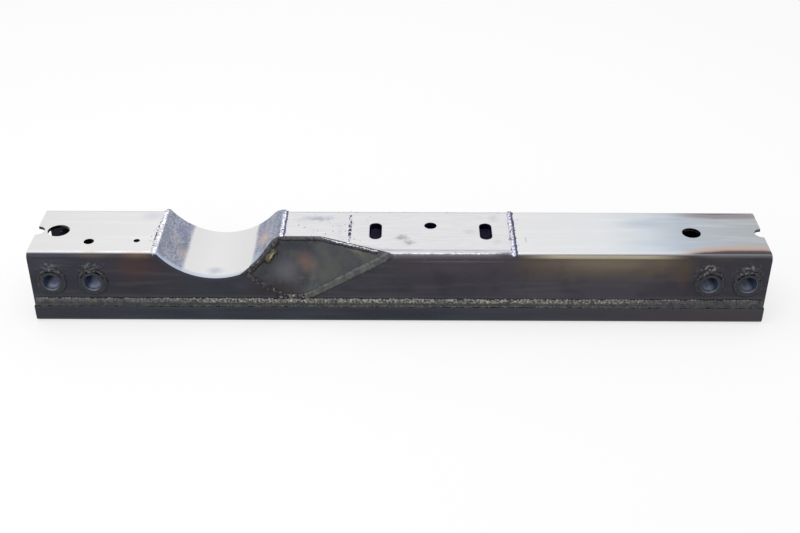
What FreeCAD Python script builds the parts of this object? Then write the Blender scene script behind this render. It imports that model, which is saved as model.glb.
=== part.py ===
import FreeCAD, Part
import os
import Sketcher

# Transmission crossmember: a bare steel box beam, welded up from a pressed channel and a shallow tray.
# Its top carries a rolled saddle, a link plate and a slotted mount plate, its front has a clearance scoop,
# and four sleeves run through it for the bolts of the frame brackets.
# X runs along the beam, -Y is the front with the scoop, +Z is up. The origin is under the beam's middle.

V = FreeCAD.Vector

# Driving dimensions in millimetres. Places along the scoop are measured from the link plate's start,
# holes and sleeves from the beam's nearer end, and drops from the beam's top.
SIZES = {
    "OverallLength": 736.6,
    "OverallHeight": 79.375,
    "ChannelDepth": 88.9,
    "ChannelWall": 3.175,
    "ChannelBend": 6.35,
    "TrayWall": 3.175,
    "TrayBend": 6.35,
    "TrayLeg": 19.05,
    "AccessHole": 31.75,
    "SaddleX": -183.5,
    "SaddleRadius": 70.0,
    "SaddleDrop": 28.0,
    "SaddleWall": 3.175,
    "SaddleFlat": 1.5,
    "ShoulderRadius": 16.0,
    "LinkWall": 3.175,
    "LinkSeat": 2.0,
    "MountX": 31.75,
    "MountLength": 165.1,
    "MountWall": 6.35,
    "MountSeat": 1.175,
    "SlotSpacing": 111.8,
    "SlotWidth": 12.7,
    "SlotLength": 31.75,
    "SlotY": 1.5,
    "PilotHole": 12.7,
    "PilotY": 12.5,
    "ScoopAboveSeam": 1.45,
    "ScoopSetback": 31.75,
    "ScoopFloorLeft": 1.5,
    "ScoopFloorRight": 25.5,
    "ScoopTopLeft": -3.5,
    "ScoopTopRight": 38.5,
    "ScoopLeft": -33.5,
    "ScoopLeftDrop": 23.0,
    "ScoopRight": 110.5,
    "ScoopBend": 25.0,
    "ScoopWall": 3.175,
    "SleeveBore": 17.5,
    "SleeveWall": 3.175,
    "SleeveProud": 1.6,
    "SleeveClearance": 0.2,
    "SleeveEdge": 0.8,
    "SleeveDrop": 33.0,
    "LeftOuterSleeve": 20.6,
    "LeftInnerSleeve": 62.0,
    "RightInnerSleeve": 58.2,
    "RightOuterSleeve": 19.8,
    "LeftLargeHole": 22.2,
    "LeftLargeHoleFromEnd": 22.2,
    "LeftMiddleHole": 10.3,
    "LeftMiddleHoleFromEnd": 57.3,
    "LeftMiddleHoleY": -20.6,
    "LeftSmallHole": 6.4,
    "LeftSmallHoleFromEnd": 105.0,
    "LeftSmallHoleY": -18.8,
    "RightHole": 19.05,
    "RightHoleFromEnd": 72.0,
    "NotchRadius": 8.0,
    "SeamRise": 9.0,
    "SeamProud": 0.8,
    "BeadWidth": 5.8,
    "BeadCrown": 1.5,
    "MountBeadWidth": 6.6,
    "RingLeg": 3.2,
    "ScoopBead": 3.0,
    "ScoopTopBead": 2.2,
    "ScoopTopBeadSunk": 1.0,
    "ScoopTroughBead": 2.4,
}


class Size:
    """A length that keeps its number together with the sheet expression that it comes from."""

    def __init__(self, number, text):
        self.number = number
        self.text = text

    def join(self, other, sign):
        other = as_size(other)
        numbers = {
            "+": self.number + other.number,
            "-": self.number - other.number,
            "*": self.number * other.number,
        }
        return Size(numbers[sign], "(%s %s %s)" % (self.text, sign, other.text))

    def __add__(self, other):
        return self.join(other, "+")

    def __sub__(self, other):
        return self.join(other, "-")

    def __mul__(self, other):
        return self.join(other, "*")

    def __neg__(self):
        return as_size(0) - self

    def __truediv__(self, divisor):
        return Size(self.number / divisor, "(%s / %s)" % (self.text, divisor))

    def root(self):
        return Size(self.number ** 0.5, "sqrt(%s)" % self.text)


def as_size(value):
    """A plain number as a Size."""
    return value if isinstance(value, Size) else Size(float(value), repr(float(value)))


doc = FreeCAD.newDocument("TransmissionCrossmember")
sheet = doc.addObject("Spreadsheet::Sheet", "Sizes")
for row, (alias, number) in enumerate(SIZES.items(), start=1):
    sheet.set("A%d" % row, alias)
    sheet.set("B%d" % row, str(number))
    sheet.setAlias("B%d" % row, alias)
doc.recompute()


def size(alias):
    """One driving dimension, read from the sheet."""
    return Size(float(sheet.get(alias)), "Sizes." + alias)


# Values that several pieces share
half_length = size("OverallLength") / 2
half_depth = size("ChannelDepth") / 2
top = size("OverallHeight")
above_top = top + size("ChannelDepth")
through = size("ChannelDepth") * 2
bend_line = half_depth - size("ChannelBend")
foot = size("TrayBend")
seam_top = size("TrayLeg") + size("SeamRise")
saddle_rise = size("SaddleRadius") - size("SaddleDrop")
trough_reach = (size("SaddleRadius") * size("SaddleRadius") - saddle_rise * saddle_rise).root()
trough_left = size("SaddleX") - trough_reach
arc_span = size("SaddleRadius") + size("ShoulderRadius")
arc_rise = saddle_rise + size("ShoulderRadius")
shoulder_reach = (arc_span * arc_span - arc_rise * arc_rise).root()
link_start = size("SaddleX") + shoulder_reach + size("SaddleFlat")
link_half_depth = bend_line + size("LinkSeat")
mount_start = size("MountX") - size("MountLength") / 2
mount_end = size("MountX") + size("MountLength") / 2
mount_half_depth = half_depth - size("ChannelWall") + size("MountSeat")
slot_places = [size("MountX") - size("SlotSpacing") / 2, size("MountX") + size("SlotSpacing") / 2]
sleeve_radius = size("SleeveBore") / 2 + size("SleeveWall")
sleeve_height = top - size("SleeveDrop")
sleeve_half = half_depth + size("SleeveProud")
SLEEVES = {
    "left_outer": size("LeftOuterSleeve") - half_length,
    "left_inner": size("LeftInnerSleeve") - half_length,
    "right_inner": half_length - size("RightInnerSleeve"),
    "right_outer": half_length - size("RightOuterSleeve"),
}


def bind(target, name, value):
    """Ties a property of an object to an expression of the sheet."""
    target.setExpression(name, as_size(value).text)


def new_body(label):
    """Empty body under its own name."""
    body = doc.addObject("PartDesign::Body", label)
    body.Label = label
    return body


def new_sketch(body, name, role, lift=0):
    """Sketch on one of the body's own origin planes, lifted along that plane's normal."""
    sketch = body.newObject("Sketcher::SketchObject", name)
    plane = [feature for feature in body.Origin.OriginFeatures if feature.Role == role][0]
    sketch.AttachmentSupport = [(plane, "")]
    sketch.MapMode = "FlatFace"
    bind(sketch, "AttachmentOffset.Base.z", lift)
    return sketch


def flat(place):
    """A pair of sizes as a point of a sketch."""
    return V(as_size(place[0]).number, as_size(place[1]).number, 0)


def constrain(sketch, kind, references, value):
    """Adds a dimension to a sketch and ties it to the sheet."""
    value = as_size(value)
    index = sketch.addConstraint(Sketcher.Constraint(kind, *references, value.number))
    bind(sketch, "Constraints[%d]" % index, value)


def place_point(sketch, geometry, point, place):
    """Dimensions one point of a sketch from the sketch's origin."""
    constrain(sketch, "DistanceX", (-1, 1, geometry, point), place[0])
    constrain(sketch, "DistanceY", (-1, 1, geometry, point), place[1])


def draw_line(sketch, start, end):
    """Straight edge between two points."""
    return sketch.addGeometry(Part.LineSegment(start, end), False)


def draw_arc(sketch, first, middle, last):
    """Arc through three points; returns it with the numbers of its first and last ends."""
    turns_left = (middle - first).cross(last - middle).z > 0
    ends = (first, last) if turns_left else (last, first)
    arc = sketch.addGeometry(Part.Arc(ends[0], middle, ends[1]), False)
    return (arc, 1, 2) if turns_left else (arc, 2, 1)


def meet(sketch, first, second, kind="Coincident"):
    """Joins two ends, each given as an edge and the number of its end."""
    sketch.addConstraint(Sketcher.Constraint(kind, *first, *second))


def draw_polygon(sketch, corners):
    """Closed outline with straight edges through the given corners."""
    count = len(corners)
    for index in range(count):
        draw_line(sketch, flat(corners[index]), flat(corners[(index + 1) % count]))
    for index in range(count):
        meet(sketch, (index, 2), ((index + 1) % count, 1))
        place_point(sketch, index, 1, corners[index])


def draw_circles(sketch, circles):
    """Circles given as centre and diameter."""
    for centre, diameter in circles:
        index = sketch.addGeometry(Part.Circle(flat(centre), V(0, 0, 1), diameter.number / 2), False)
        place_point(sketch, index, 3, centre)
        constrain(sketch, "Diameter", (index,), diameter)


def draw_bulge(sketch, start, crown, corners):
    """Bead section: an arc from start over crown to the first corner, then straight edges back to start."""
    arc, first, last = draw_arc(sketch, flat(start), flat(crown), flat(corners[0]))
    outline = corners + [start]
    edges = [draw_line(sketch, flat(a), flat(b)) for a, b in zip(outline, outline[1:])]
    meet(sketch, (arc, last), (edges[0], 1))
    meet(sketch, (edges[-1], 2), (arc, first))
    for edge, following in zip(edges, edges[1:]):
        meet(sketch, (edge, 2), (following, 1))
    for edge, corner in zip(edges, corners):
        place_point(sketch, edge, 1, corner)
    place_point(sketch, edges[-1], 2, start)
    mark = sketch.addGeometry(Part.Point(flat(crown)), True)
    place_point(sketch, mark, 1, crown)
    sketch.addConstraint(Sketcher.Constraint("PointOnObject", mark, 1, arc))


def draw_slot(sketch, centre, width, length):
    """Slot along Y, as two half circles and two straight edges."""
    radius = width / 2
    straight = (length - width) / 2
    x, y = centre
    low = (x, y - straight)
    high = (x, y + straight)
    left_low = flat((x - radius, y - straight))
    left_high = flat((x - radius, y + straight))
    right_low = flat((x + radius, y - straight))
    right_high = flat((x + radius, y + straight))
    low_arc = draw_arc(sketch, left_low, flat((x, y - straight - radius)), right_low)[0]
    right_edge = draw_line(sketch, right_low, right_high)
    high_arc = draw_arc(sketch, right_high, flat((x, y + straight + radius)), left_high)[0]
    left_edge = draw_line(sketch, left_high, left_low)
    loop = [low_arc, right_edge, high_arc, left_edge]
    for edge, following in zip(loop, loop[1:] + loop[:1]):
        meet(sketch, (edge, 2), (following, 1), "Tangent")
    place_point(sketch, low_arc, 3, low)
    place_point(sketch, high_arc, 3, high)
    constrain(sketch, "Radius", (low_arc,), radius)


def pad(body, sketch, length, both_ways=True, downwards=False):
    """Pads a sketch, to both sides of its plane or to one."""
    feature = body.newObject("PartDesign::Pad", sketch.Name + "Pad")
    feature.Profile = sketch
    feature.SideType = "Symmetric" if both_ways else "One side"
    feature.Reversed = downwards
    bind(feature, "Length", length)
    doc.recompute()


def pocket(body, sketch, length, both_ways=False):
    """Pockets a sketch and makes sure that it took material away."""
    before = body.Shape.Volume
    feature = body.newObject("PartDesign::Pocket", sketch.Name + "Cut")
    feature.Profile = sketch
    feature.SideType = "Symmetric" if both_ways else "One side"
    bind(feature, "Length", length)
    doc.recompute()
    if body.Shape.Volume >= before:
        raise RuntimeError(feature.Name + " cuts nothing")


def near(first, second):
    """True for two numbers that are equal within a hundredth of a millimetre."""
    return abs(as_size(first).number - as_size(second).number) < 0.01


def along_beam(y, z):
    """Test for points on the two lines along X at +y and -y and height z."""
    return lambda spot: near(abs(spot.y), y) and near(spot.z, z)


def spots_of(edge):
    """Middle and ends of an edge."""
    middle = edge.valueAt((edge.FirstParameter + edge.LastParameter) / 2)
    return [middle] + [vertex.Point for vertex in edge.Vertexes]


def dress(body, kind, name, test, property_name, value):
    """Fillets or chamfers the edges whose middles and ends pass a test."""
    base = body.Tip
    numbers = [i for i, edge in enumerate(base.Shape.Edges, 1) if all(map(test, spots_of(edge)))]
    feature = body.newObject("PartDesign::" + kind, name)
    feature.Base = (base, ["Edge%d" % number for number in numbers])
    bind(feature, property_name, value)
    doc.recompute()


def combine(kind, label, base, tool):
    """Boolean of two objects of the document."""
    result = doc.addObject("Part::" + kind, label)
    result.Label = label
    result.Base = base
    result.Tool = tool
    doc.recompute()
    return result


def shaped(label, shape):
    """An object whose shape is worked out in code."""
    thing = doc.addObject("Part::Feature", label)
    thing.Label = label
    thing.Shape = shape
    thing.Placement = FreeCAD.Placement()
    return thing


def draw_trough(sketch, trough_radius, shoulder_radius, surface):
    """Trough, shoulder and flat of the saddle as an open line; returns its two ends and their points."""
    trough_centre = flat((size("SaddleX"), top + saddle_rise))
    shoulder_centre = flat((size("SaddleX") + shoulder_reach, top - size("ShoulderRadius")))
    toward = (shoulder_centre - trough_centre).normalize()
    reach = (trough_radius * trough_radius - saddle_rise * saddle_rise).root()
    left_end = flat((size("SaddleX") - reach, top))
    low = trough_centre - V(0, trough_radius.number, 0)
    joint = trough_centre + toward * trough_radius.number
    shoulder_end = shoulder_centre + V(0, shoulder_radius.number, 0)
    shoulder_middle = shoulder_centre + (V(0, 1, 0) - toward).normalize() * shoulder_radius.number
    right_end = flat((link_start, surface))
    trough, trough_first, trough_last = draw_arc(sketch, left_end, low, joint)
    shoulder, shoulder_first, shoulder_last = draw_arc(sketch, joint, shoulder_middle, shoulder_end)
    level = draw_line(sketch, shoulder_end, right_end)
    meet(sketch, (trough, trough_last), (shoulder, shoulder_first), "Tangent")
    meet(sketch, (shoulder, shoulder_last), (level, 1), "Tangent")
    place_point(sketch, trough, 3, (size("SaddleX"), top + saddle_rise))
    constrain(sketch, "Radius", (trough,), trough_radius)
    constrain(sketch, "DistanceY", (-1, 1, trough, trough_first), top)
    constrain(sketch, "Radius", (shoulder,), shoulder_radius)
    constrain(sketch, "DistanceY", (-1, 1, level, 1), surface)
    place_point(sketch, level, 2, (link_start, surface))
    return ((trough, trough_first), left_end), ((level, 2), right_end)


def draw_space_over_trough(sketch, trough_radius, shoulder_radius, surface):
    """Everything over a trough line, up to well above the beam."""
    (left, left_point), (right, right_point) = draw_trough(sketch, trough_radius, shoulder_radius, surface)
    right_top = V(right_point.x, above_top.number, 0)
    left_top = V(left_point.x, above_top.number, 0)
    rising = draw_line(sketch, right_point, right_top)
    over = draw_line(sketch, right_top, left_top)
    falling = draw_line(sketch, left_top, left_point)
    meet(sketch, right, (rising, 1))
    meet(sketch, (rising, 2), (over, 1))
    meet(sketch, (over, 2), (falling, 1))
    meet(sketch, (falling, 2), left)
    sketch.addConstraint(Sketcher.Constraint("Vertical", rising))
    sketch.addConstraint(Sketcher.Constraint("Horizontal", over))
    sketch.addConstraint(Sketcher.Constraint("Vertical", falling))
    constrain(sketch, "DistanceY", (-1, 1, over, 1), above_top)


under_saddle = (
    size("SaddleRadius") + size("SaddleWall"),
    size("ShoulderRadius") - size("SaddleWall"),
    top - size("SaddleWall"),
)
over_saddle = (size("SaddleRadius"), size("ShoulderRadius"), top)

# Clearance scoop: three flat faces with rounded creases between them, hollow towards the front

front = -half_depth.number
scoop_back = front + size("ScoopSetback").number
scoop_floor = (seam_top + size("ScoopAboveSeam")).number
reach_out = size("OverallLength").number


def scoop_point(alias, y, z):
    """Corner of a scoop face, its place along the beam measured from the link plate's start."""
    return V((link_start + size(alias)).number, y, z)


floor_left = scoop_point("ScoopFloorLeft", front, scoop_floor)
floor_right = scoop_point("ScoopFloorRight", front, scoop_floor)
back_left = scoop_point("ScoopTopLeft", scoop_back, top.number)
back_right = scoop_point("ScoopTopRight", scoop_back, top.number)
left_tip = scoop_point("ScoopLeft", front, (top - size("ScoopLeftDrop")).number)
right_tip = scoop_point("ScoopRight", front, top.number)
SCOOP_FACES = {
    "left": (left_tip, floor_left, back_left),
    "floor": (floor_left, floor_right, back_right),
    "right": (floor_right, right_tip, back_right),
}


def outward(face):
    """Unit normal of a scoop face, pointing to the front."""
    first, second, third = SCOOP_FACES[face]
    normal = (second - first).cross(third - first).normalize()
    return normal if normal.y < 0 else -normal


def scoop_space(depth, radius):
    """The space in front of the scoop faces, each set back by a depth, its creases rounded."""
    margin = size("ChannelDepth").number / 4
    space = Part.makeBox(
        right_tip.x - left_tip.x + 4 * margin,
        size("ChannelDepth").number,
        top.number,
        V(left_tip.x - 2 * margin, front - margin, margin / 2),
    )
    for face, points in SCOOP_FACES.items():
        half_space = Part.makeBox(2 * reach_out, 2 * reach_out, 2 * reach_out)
        half_space.translate(V(-reach_out, -reach_out, 0))
        turn = FreeCAD.Rotation(V(0, 0, 1), outward(face))
        at_face = FreeCAD.Placement(points[0] - outward(face) * depth, turn)
        half_space.Placement = at_face.multiply(half_space.Placement)
        space = space.common(half_space)
    creases = []
    for side in ("left", "right"):
        for edge in space.Edges:
            middle = spots_of(edge)[0]
            gaps = [
                abs((middle - SCOOP_FACES[face][0]).dot(outward(face)) + depth)
                for face in ("floor", side)
            ]
            if max(gaps) < 0.001:
                creases.append(edge)
    return space.makeFillet(radius, creases)


scoop_hollow = shaped("scoop_hollow", scoop_space(0, size("ScoopBend").number))
scoop_seat = shaped("scoop_seat", scoop_space(
    size("ScoopWall").number,
    size("ScoopBend").number + size("ScoopWall").number,
))

# Lower channel: a shallow tray whose legs wrap the upper channel's legs from outside

tray = new_body("lower_channel")
tray_half = half_depth + size("TrayWall")
tray_profile = new_sketch(tray, "TrayProfile", "YZ_Plane")
draw_polygon(tray_profile, [
    (-tray_half, as_size(0)),
    (-tray_half, size("TrayLeg")),
    (-half_depth, size("TrayLeg")),
    (-half_depth, size("TrayWall")),
    (half_depth, size("TrayWall")),
    (half_depth, size("TrayLeg")),
    (tray_half, size("TrayLeg")),
    (tray_half, as_size(0)),
])
pad(tray, tray_profile, size("OverallLength"))
dress(tray, "Fillet", "TrayOuterBends", along_beam(tray_half, 0), "Radius", size("TrayBend"))
tray_inner_bend = size("TrayBend") - size("TrayWall")
dress(
    tray, "Fillet", "TrayInnerBends", along_beam(half_depth, size("TrayWall")), "Radius", tray_inner_bend)

# Two access holes under the slots let a socket reach the mount's nuts
access = new_sketch(tray, "AccessHoles", "XY_Plane", size("TrayWall") * 2)
draw_circles(access, [((place, size("SlotY")), size("AccessHole")) for place in slot_places])
pocket(tray, access, size("TrayWall") * 3)

# Upper channel: pressed, open downwards, its legs ending where the tray's bend begins

channel = new_body("channel_blank")
channel_profile = new_sketch(channel, "ChannelProfile", "YZ_Plane")
leg_inside = half_depth - size("ChannelWall")
web_under = top - size("ChannelWall")
draw_polygon(channel_profile, [
    (-half_depth, foot),
    (-half_depth, top),
    (half_depth, top),
    (half_depth, foot),
    (leg_inside, foot),
    (leg_inside, web_under),
    (-leg_inside, web_under),
    (-leg_inside, foot),
])
pad(channel, channel_profile, size("OverallLength"))
dress(channel, "Fillet", "ChannelOuterBends", along_beam(half_depth, top), "Radius", size("ChannelBend"))
inner_bend = size("ChannelBend") - size("ChannelWall")
dress(channel, "Fillet", "ChannelInnerBends", along_beam(leg_inside, web_under), "Radius", inner_bend)

# The saddle plate lies in a cut of its own outline, the link and mount plates on legs that are cut lower
saddle_cut = new_sketch(channel, "SaddleCut", "XZ_Plane")
draw_space_over_trough(saddle_cut, *under_saddle)
pocket(channel, saddle_cut, through, both_ways=True)
for name, start, end, wall in (
    ("LinkCut", link_start, mount_start, size("LinkWall")),
    ("MountCut", mount_start, mount_end, size("MountWall")),
):
    plate_cut = new_sketch(channel, name, "XZ_Plane")
    draw_polygon(plate_cut, [(start, top - wall), (end, top - wall), (end, above_top), (start, above_top)])
    pocket(channel, plate_cut, through, both_ways=True)

# Four holes and two half-round end notches through the web
web_holes = new_sketch(channel, "WebHoles", "XY_Plane", top)
draw_circles(web_holes, [
    ((size("LeftLargeHoleFromEnd") - half_length, as_size(0)), size("LeftLargeHole")),
    ((size("LeftMiddleHoleFromEnd") - half_length, size("LeftMiddleHoleY")), size("LeftMiddleHole")),
    ((size("LeftSmallHoleFromEnd") - half_length, size("LeftSmallHoleY")), size("LeftSmallHole")),
    ((half_length - size("RightHoleFromEnd"), as_size(0)), size("RightHole")),
    ((-half_length, as_size(0)), size("NotchRadius") * 2),
    ((half_length, as_size(0)), size("NotchRadius") * 2),
])
pocket(channel, web_holes, size("ChannelWall") * 2)

# Holes in both legs for the sleeves
leg_holes = new_sketch(channel, "LegHoles", "XZ_Plane")
leg_hole = (sleeve_radius + size("SleeveClearance")) * 2
draw_circles(leg_holes, [((place, sleeve_height), leg_hole) for place in SLEEVES.values()])
pocket(channel, leg_holes, through, both_ways=True)
upper_channel = combine("Cut", "upper_channel", channel, scoop_seat)

# Saddle plate: rolled to the trough, turned over at its right shoulder, on the legs' curved edges

saddle_blank = new_body("saddle_blank")
saddle_section = new_sketch(saddle_blank, "SaddleSection", "XZ_Plane")
upper_ends = draw_trough(saddle_section, *over_saddle)
lower_ends = draw_trough(saddle_section, *under_saddle)
for (upper, upper_point), (lower, lower_point) in zip(upper_ends, lower_ends):
    closing = draw_line(saddle_section, upper_point, lower_point)
    meet(saddle_section, upper, (closing, 1))
    meet(saddle_section, lower, (closing, 2))
pad(saddle_blank, saddle_section, size("ChannelDepth"))
saddle_plate = combine("Cut", "saddle_plate", saddle_blank, scoop_seat)

# Clearance plate: bent twice, it fills the scoop's opening and ends flush with front, top and trough

envelope = new_body("beam_envelope")
envelope_profile = new_sketch(envelope, "EnvelopeProfile", "YZ_Plane")
draw_polygon(envelope_profile, [
    (-half_depth, foot),
    (-half_depth, top),
    (half_depth, top),
    (half_depth, foot),
])
pad(envelope, envelope_profile, size("OverallLength"))
dress(envelope, "Fillet", "EnvelopeBends", along_beam(half_depth, top), "Radius", size("ChannelBend"))
trough_space = new_body("trough_space")
trough_outline = new_sketch(trough_space, "TroughOutline", "XZ_Plane")
draw_space_over_trough(trough_outline, *over_saddle)
pad(trough_space, trough_outline, through)
scoop_shell = combine("Cut", "scoop_shell", scoop_seat, scoop_hollow)
scoop_trimmed = combine("Common", "scoop_trimmed", scoop_shell, envelope)
clearance_plate = combine("Cut", "clearance_plate", scoop_trimmed, trough_space)

# Link and mount plates: flat, inset in the top, with their long edges bevelled for the corner beads


def top_plate(name, start, end, plate_half, wall):
    """Flat plate whose upper face is level with the beam's top."""
    body = new_body(name + "_blank")
    outline = new_sketch(body, name + "_outline", "XY_Plane", top)
    draw_polygon(outline, [(start, -plate_half), (end, -plate_half), (end, plate_half), (start, plate_half)])
    pad(body, outline, wall, both_ways=False, downwards=True)
    dress(body, "Chamfer", name + "_bevel", along_beam(plate_half, top), "Size", plate_half - bend_line)
    return body


link_blank = top_plate("link_plate", link_start, mount_start, link_half_depth, size("LinkWall"))
link_plate = combine("Cut", "link_plate", link_blank, scoop_seat)

mount_blank = top_plate("mount_plate", mount_start, mount_end, mount_half_depth, size("MountWall"))
for side, place in zip(("Left", "Right"), slot_places):
    slot = new_sketch(mount_blank, side + "Slot", "XY_Plane", top)
    draw_slot(slot, (place, size("SlotY")), size("SlotWidth"), size("SlotLength"))
    pocket(mount_blank, slot, size("MountWall") * 2)
pilot = new_sketch(mount_blank, "PilotHole", "XY_Plane", top)
draw_circles(pilot, [((size("MountX"), size("PilotY")), size("PilotHole"))])
pocket(mount_blank, pilot, size("MountWall") * 2)
mount_plate = combine("Cut", "mount_plate", mount_blank, scoop_seat)

pieces = [tray, upper_channel, saddle_plate, clearance_plate, link_plate, mount_plate]

# Sleeves: turned tubes through both legs, bored for the bracket bolts, with a ring bead at each end


def at_sleeve(body, place):
    """Puts a body that was drawn round the origin at a sleeve's place."""
    bind(body, "Placement.Base.x", place)
    bind(body, "Placement.Base.z", sleeve_height)
    doc.recompute()
    pieces.append(body)


def on_bore(spot):
    """True on the wall of a sleeve's bore, seen from the sleeve's own axis."""
    return near((spot.x ** 2 + spot.z ** 2) ** 0.5, size("SleeveBore") / 2)


def make_sleeve(name, place):
    """One through sleeve, its bore eased at both ends."""
    sleeve = new_body("sleeve_" + name)
    section = new_sketch(sleeve, sleeve.Label + "_section", "XZ_Plane")
    middle = (as_size(0), as_size(0))
    draw_circles(section, [(middle, sleeve_radius * 2), (middle, size("SleeveBore"))])
    pad(sleeve, section, sleeve_half * 2)
    dress(sleeve, "Chamfer", sleeve.Label + "_edges", on_bore, "Size", size("SleeveEdge"))
    at_sleeve(sleeve, place)


def make_ring_weld(name, side, turn, place):
    """Fillet bead round one end of a sleeve, turned about the sleeve's axis."""
    bead = new_body("ring_weld_" + name + "_" + side)
    section = new_sketch(bead, bead.Label + "_section", "XY_Plane")
    draw_polygon(section, [
        (sleeve_radius, -half_depth),
        (sleeve_radius, -sleeve_half),
        (sleeve_radius + size("RingLeg") / 3, -sleeve_half),
        (sleeve_radius + size("RingLeg"), -half_depth - size("SleeveProud") / 4),
        (sleeve_radius + size("RingLeg"), -half_depth),
    ])
    turned = bead.newObject("PartDesign::Revolution", bead.Label + "_turned")
    turned.Profile = section
    turned.ReferenceAxis = (section, ["V_Axis"])
    turned.Angle = 360
    bead.Placement = FreeCAD.Placement(V(), FreeCAD.Rotation(V(0, 0, 1), turn))
    at_sleeve(bead, place)


for name, place in SLEEVES.items():
    make_sleeve(name, place)
    make_ring_weld(name, "front", 0, place)
    make_ring_weld(name, "back", 180, place)

# Seam beads fill the step between tray and channel along the whole beam, front and back

for label, side in (("seam_weld_front", -1), ("seam_weld_back", 1)):
    seam = new_body(label)
    section = new_sketch(seam, label + "_section", "YZ_Plane")
    wall_foot = (half_depth * side, size("TrayLeg"))
    wall_head = (half_depth * side, seam_top)
    bulge = ((tray_half + size("SeamProud")) * side, size("TrayLeg") + size("SeamRise") / 3)
    draw_bulge(section, (tray_half * side, size("TrayLeg")), bulge, [wall_head, wall_foot])
    pad(seam, section, size("OverallLength"))
    pieces.append(seam)

# Beads across the top: low crowns over the joints of the saddle, link and mount plates

TOP_BEADS = {
    "saddle_weld_left": (trough_left - size("BeadWidth") / 2, size("BeadWidth")),
    "saddle_weld_right": (link_start, size("BeadWidth")),
    "link_weld": (mount_start, size("BeadWidth")),
    "mount_weld_right": (mount_end, size("MountBeadWidth")),
}
for label, (place, width) in TOP_BEADS.items():
    bead = new_body(label + "_blank")
    section = new_sketch(bead, label + "_section", "XZ_Plane")
    crown = (place, top + size("BeadCrown"))
    draw_bulge(section, (place - width / 2, top), crown, [(place + width / 2, top)])
    pad(bead, section, bend_line * 2)
    pieces.append(combine("Cut", label, bead, scoop_seat))

# Corner beads fill the bevels along the plates' long edges and carry on the channel's bend


def corner_bead(label, side, start, length, plate_half, wall):
    """Bead in the corner over one leg, rounded as the channel's bend is."""
    body = new_body(label + "_blank")
    section = new_sketch(body, label + "_section", "YZ_Plane", start)
    draw_polygon(section, [
        (half_depth * side, top - wall),
        (half_depth * side, top),
        (bend_line * side, top),
        (plate_half * side, top - plate_half + bend_line),
        (plate_half * side, top - wall),
    ])
    pad(body, section, length, both_ways=False)
    rounded = combine("Common", label + "_rounded", body, envelope)
    pieces.append(combine("Cut", label, rounded, scoop_seat))


for label, side in (("mount_weld_front", -1), ("mount_weld_back", 1)):
    corner_bead(label, side, mount_start, size("MountLength"), mount_half_depth, size("MountWall"))
corner_bead("link_weld_back", 1, link_start, mount_start - link_start, link_half_depth, size("LinkWall"))

# Beads round the clearance plate: round runs along its outline, less the pieces that they lie on

hollow = scoop_hollow.Shape
trough_axis = V(size("SaddleX").number, 0, (top + saddle_rise).number)


def on_hollow(spot):
    """True on the clearance plate's outer face."""
    return hollow.distToShape(Part.Vertex(spot))[0] < 0.01


def in_front(spot):
    """True on the outline that the clearance plate shares with the front leg."""
    return near(spot.y, front) and on_hollow(spot)


def on_top(spot):
    """True on the outline that the clearance plate shares with the beam's top."""
    return near(spot.z, top) and on_hollow(spot)


def on_trough(spot):
    """True on the outline that the clearance plate shares with the saddle's trough."""
    away = ((spot.x - trough_axis.x) ** 2 + (spot.z - trough_axis.z) ** 2) ** 0.5
    return near(away, size("SaddleRadius")) and on_hollow(spot)


def run_bead(label, low, high, test, radius, sunk=0):
    """Round run along the clearance plate's edges that pass a test, between two places along the beam."""
    room = Part.makeBox(high - low, 2 * reach_out, 2 * reach_out, V(low, -reach_out, -reach_out))
    edges = [
        edge for edge in clearance_plate.Shape.common(room).Edges
        if all(map(test, spots_of(edge)))
    ]
    path = Part.Wire(Part.__sortEdges__(edges))
    first = path.OrderedEdges[0]
    ring = Part.Wire(Part.makeCircle(
        radius, first.valueAt(first.FirstParameter), first.tangentAt(first.FirstParameter)))
    run = path.makePipeShell([ring], True, True)
    run.translate(V(0, 0, -sunk))
    for piece in pieces:
        if run.BoundBox.intersect(piece.Shape.BoundBox):
            run = run.cut(piece.Shape)
    pieces.append(shaped(label, max(run.Solids, key=lambda solid: solid.Volume)))


bead_radius = size("ScoopBead").number
run_bead("clearance_weld_ridge", floor_right.x, right_tip.x, in_front, bead_radius)
run_bead("clearance_weld_lower", left_tip.x, floor_right.x, in_front, bead_radius)
run_bead(
    "clearance_weld_top", back_left.x + size("BeadWidth").number, right_tip.x, on_top,
    size("ScoopTopBead").number, size("ScoopTopBeadSunk").number)
run_bead("clearance_weld_trough", left_tip.x, back_left.x, on_trough, size("ScoopTroughBead").number)

for thing in doc.Objects:
    if "Invalid" in thing.State or "Error" in thing.State:
        raise RuntimeError(thing.Label + " failed")

os.makedirs("parts", exist_ok=True)
for piece in pieces:
    shape = piece.Shape
    if shape.isNull() or not shape.isValid() or len(shape.Solids) != 1:
        raise RuntimeError(piece.Label + " has a bad shape")
    shape.exportStep("parts/%s.step" % piece.Label)
print("%d pieces, %.0f cubic centimetres" % (len(pieces), sum(p.Shape.Volume for p in pieces) / 1000))
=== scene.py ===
import math
import random

import bpy
from mathutils import Euler, Matrix, Vector


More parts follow.
